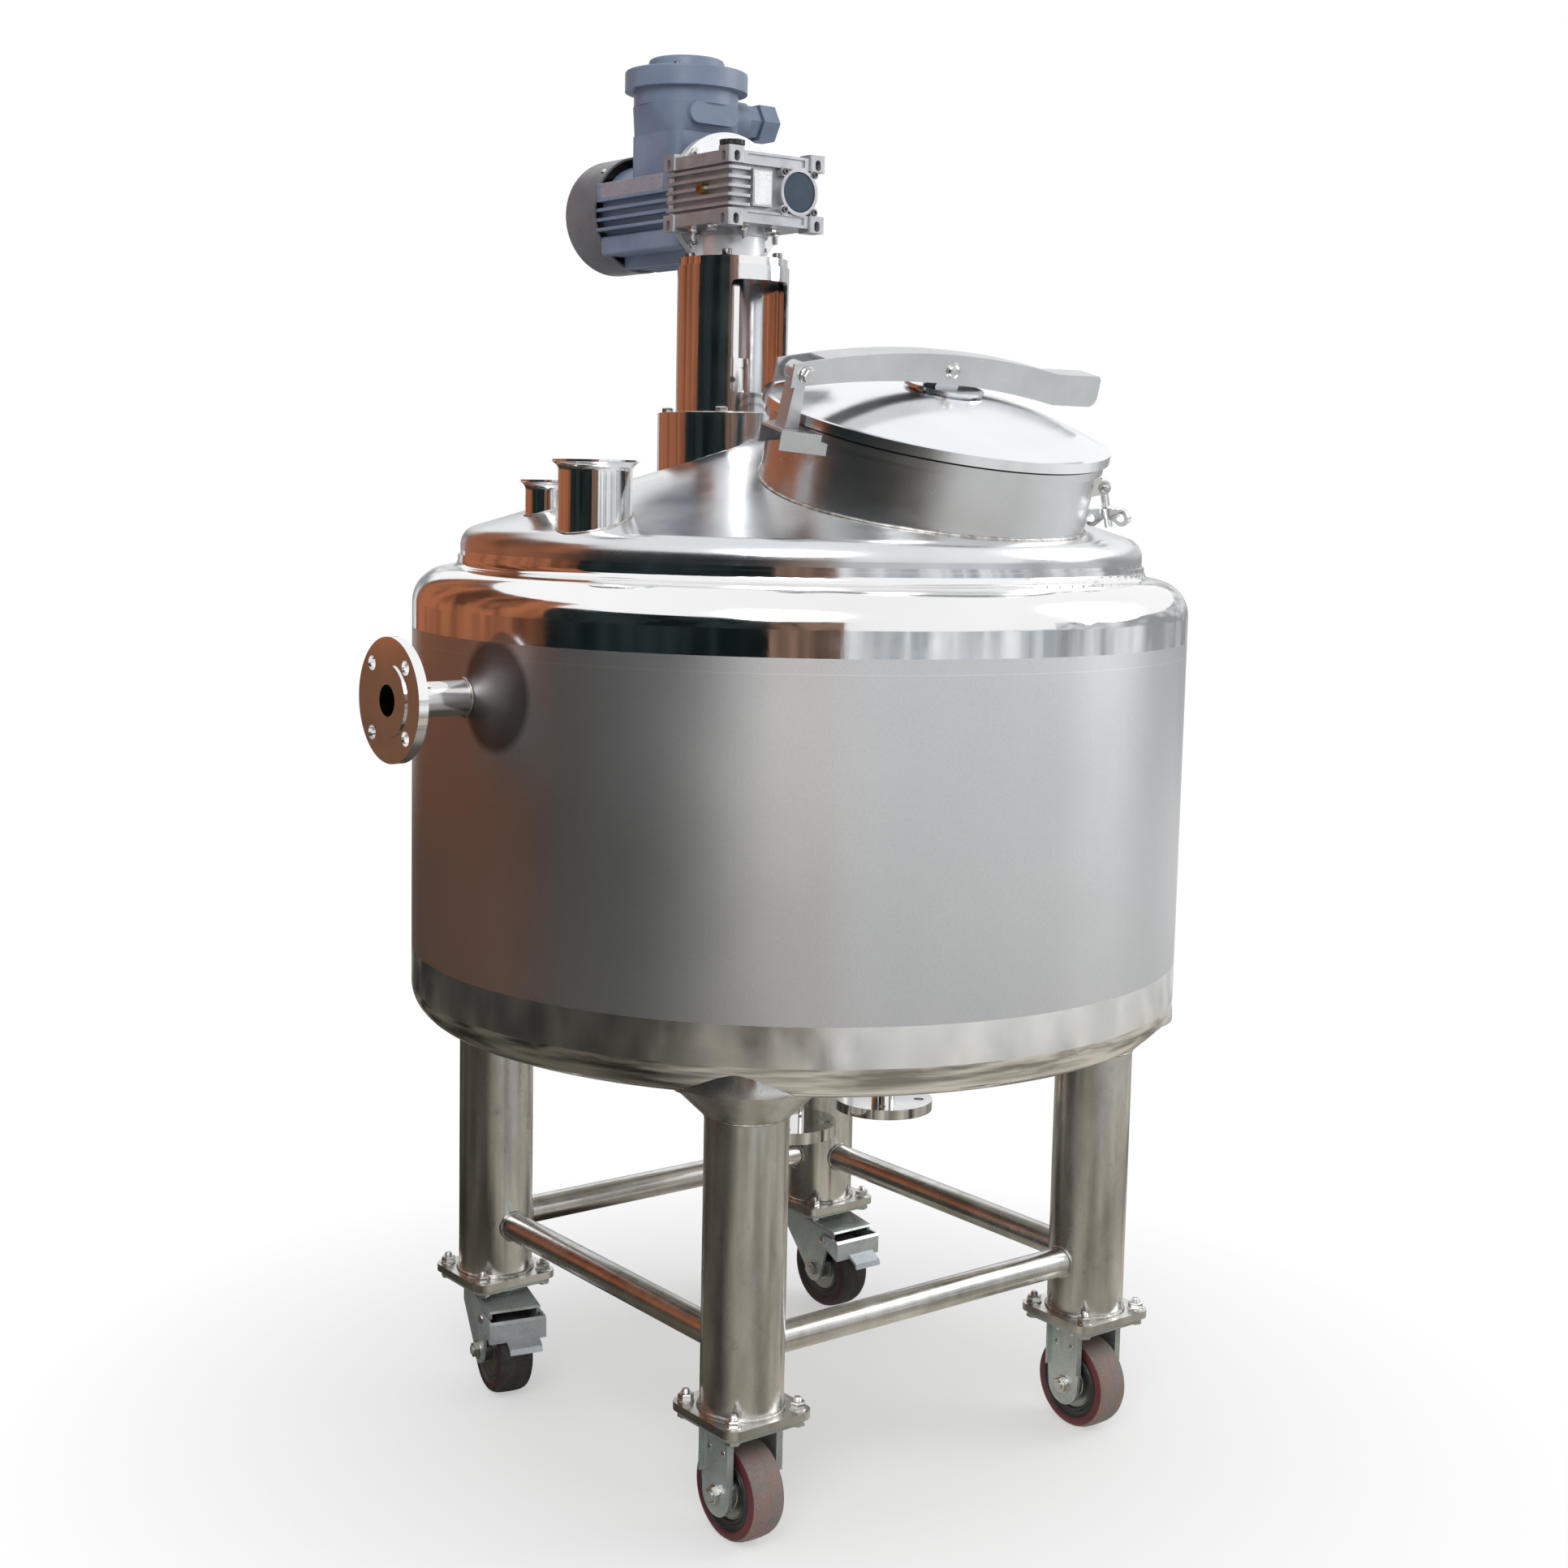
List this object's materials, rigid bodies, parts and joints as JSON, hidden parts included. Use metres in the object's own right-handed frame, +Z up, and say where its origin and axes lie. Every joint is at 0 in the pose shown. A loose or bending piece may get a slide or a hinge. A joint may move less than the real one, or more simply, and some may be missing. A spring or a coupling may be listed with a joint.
{
  "type": "mobile jacketed stainless steel mixing tank",
  "caption": "Stainless steel jacketed mixing tank on casters, with a top agitator drive, a lever-locked manway and flanged and clamp nozzles.",
  "frame": {"origin": "on the floor, under the axis of the tank", "axes": "+Z up, +X to the right seen from the manway side, +Y to the rear"},
  "size_m": [1.122, 1.061, 1.864],
  "materials": {
    "polished_steel": "mirror polished",
    "brushed_steel": "matte",
    "cast_aluminium": "cast, painted silver",
    "grey_paint": "hammered",
    "black_rubber": "satin",
    "zinc_plate": "zinc plated",
    "wheel_tyre": "polyurethane",
    "brass": "dull",
    "brake_paint": "zinc plated"
  },
  "bodies": {
    "tank": {"agitator_collar": "polished_steel", "agitator_stand": "polished_steel", "bolt_ears_front": "polished_steel", "bolt_ears_side": "polished_steel", "bottom_outlet": "polished_steel", "cable_gland": "grey_paint", "caster_plate_rear_left": "zinc_plate", "caster_plate_rear_right": "zinc_plate", "drive_spacer": "polished_steel", "fan_cowl": "grey_paint", "fork_front_left": "zinc_plate", "fork_front_right": "zinc_plate", "gearbox_breather": "black_rubber", "gearbox_housing": "cast_aluminium", "hinge_bracket": "polished_steel", "hinge_post": "polished_steel", "jacket_bottom": "polished_steel", "jacket_drain": "polished_steel", "jacket_inlet": "polished_steel", "jacket_shoulder": "polished_steel", "jacket_wall": "brushed_steel", "large_ferrule": "polished_steel", "leg_front_left": "polished_steel", "leg_front_right": "polished_steel", "leg_rear_left": "polished_steel", "leg_rear_right": "polished_steel", "manway_neck": "polished_steel", "motor_body": "grey_paint", "motor_flange": "grey_paint", "oil_plug": "brass", "rail_front": "polished_steel", "rail_left": "polished_steel", "rail_rear": "polished_steel", "rail_right": "polished_steel", "small_ferrule": "polished_steel", "stand_head": "polished_steel", "terminal_box": "grey_paint", "terminal_lid": "grey_paint", "vessel_bottom": "polished_steel", "vessel_roof": "polished_steel", "vessel_wall": "polished_steel", "worm_cap": "black_rubber"},
    "lid": {"manway_lid": "polished_steel", "lid_lever": "polished_steel", "lid_gasket": "black_rubber"},
    "swing_bolt_front": {"swing_bolt_front": "polished_steel", "wing_nut_front": "polished_steel"},
    "swing_bolt_side": {"swing_bolt_side": "polished_steel", "wing_nut_side": "polished_steel"},
    "agitator": {"agitator_shaft": "polished_steel", "shaft_coupling": "polished_steel", "impeller": "polished_steel"},
    "caster_left": {"fork_rear_left": "zinc_plate"},
    "brake_left": {"brake_pedal_left": "brake_paint"},
    "caster_right": {"fork_rear_right": "zinc_plate"},
    "brake_right": {"brake_pedal_right": "brake_paint"},
    "wheel_front_left": {"wheel_front_left": "wheel_tyre"},
    "wheel_front_right": {"wheel_front_right": "wheel_tyre"},
    "wheel_rear_left": {"wheel_rear_left": "wheel_tyre"},
    "wheel_rear_right": {"wheel_rear_right": "wheel_tyre"}
  },
  "joints": [
    {"name": "lid_hinge", "type": "hinge", "parent": "tank", "child": "lid", "pos_m": [-0.218, -0.26481, 1.39494], "axis": [0, -0.9681, -0.2504], "range_deg": [0, 95]},
    {"name": "agitator_spin", "type": "hinge", "parent": "tank", "child": "agitator", "pos_m": [0, 0.1615, 1.556], "axis": [0, 0, 1], "continuous": true},
    {"name": "front_bolt_swing", "type": "hinge", "parent": "tank", "child": "swing_bolt_front", "pos_m": [0.18457, -0.37156, 1.2692], "axis": [-0.6157, -0.7629, -0.1973], "range_deg": [0, 100]},
    {"name": "side_bolt_swing", "type": "hinge", "parent": "tank", "child": "swing_bolt_side", "pos_m": [0.24786, -0.23305, 1.30502], "axis": [0.0349, -0.9676, -0.2502], "range_deg": [-150, 0]},
    {"name": "caster_swivel_left", "type": "hinge", "parent": "tank", "child": "caster_left", "pos_m": [-0.29, 0.29, 0.136], "axis": [0, 0, 1], "continuous": true},
    {"name": "brake_release_left", "type": "hinge", "parent": "caster_left", "child": "brake_left", "pos_m": [-0.30289, 0.22936, 0.116], "axis": [-0.9781, 0.2079, 0], "range_deg": [0, 12]},
    {"name": "wheel_spin_front_left", "type": "hinge", "parent": "tank", "child": "wheel_front_left", "pos_m": [-0.29, -0.29, 0.0625], "axis": [1, 0, 0], "continuous": true},
    {"name": "wheel_spin_rear_left", "type": "hinge", "parent": "caster_left", "child": "wheel_rear_left", "pos_m": [-0.29748, 0.25479, 0.0625], "axis": [0.9781, -0.2079, 0], "continuous": true},
    {"name": "caster_swivel_right", "type": "hinge", "parent": "tank", "child": "caster_right", "pos_m": [0.29, 0.29, 0.136], "axis": [0, 0, 1], "continuous": true},
    {"name": "brake_release_right", "type": "hinge", "parent": "caster_right", "child": "brake_right", "pos_m": [0.29, 0.228, 0.116], "axis": [-1, 0, 0], "range_deg": [0, 12]},
    {"name": "wheel_spin_front_right", "type": "hinge", "parent": "tank", "child": "wheel_front_right", "pos_m": [0.29, -0.29, 0.0625], "axis": [1, 0, 0], "continuous": true},
    {"name": "wheel_spin_rear_right", "type": "hinge", "parent": "caster_right", "child": "wheel_rear_right", "pos_m": [0.29, 0.254, 0.0625], "axis": [1, 0, 0], "continuous": true}
  ]
}
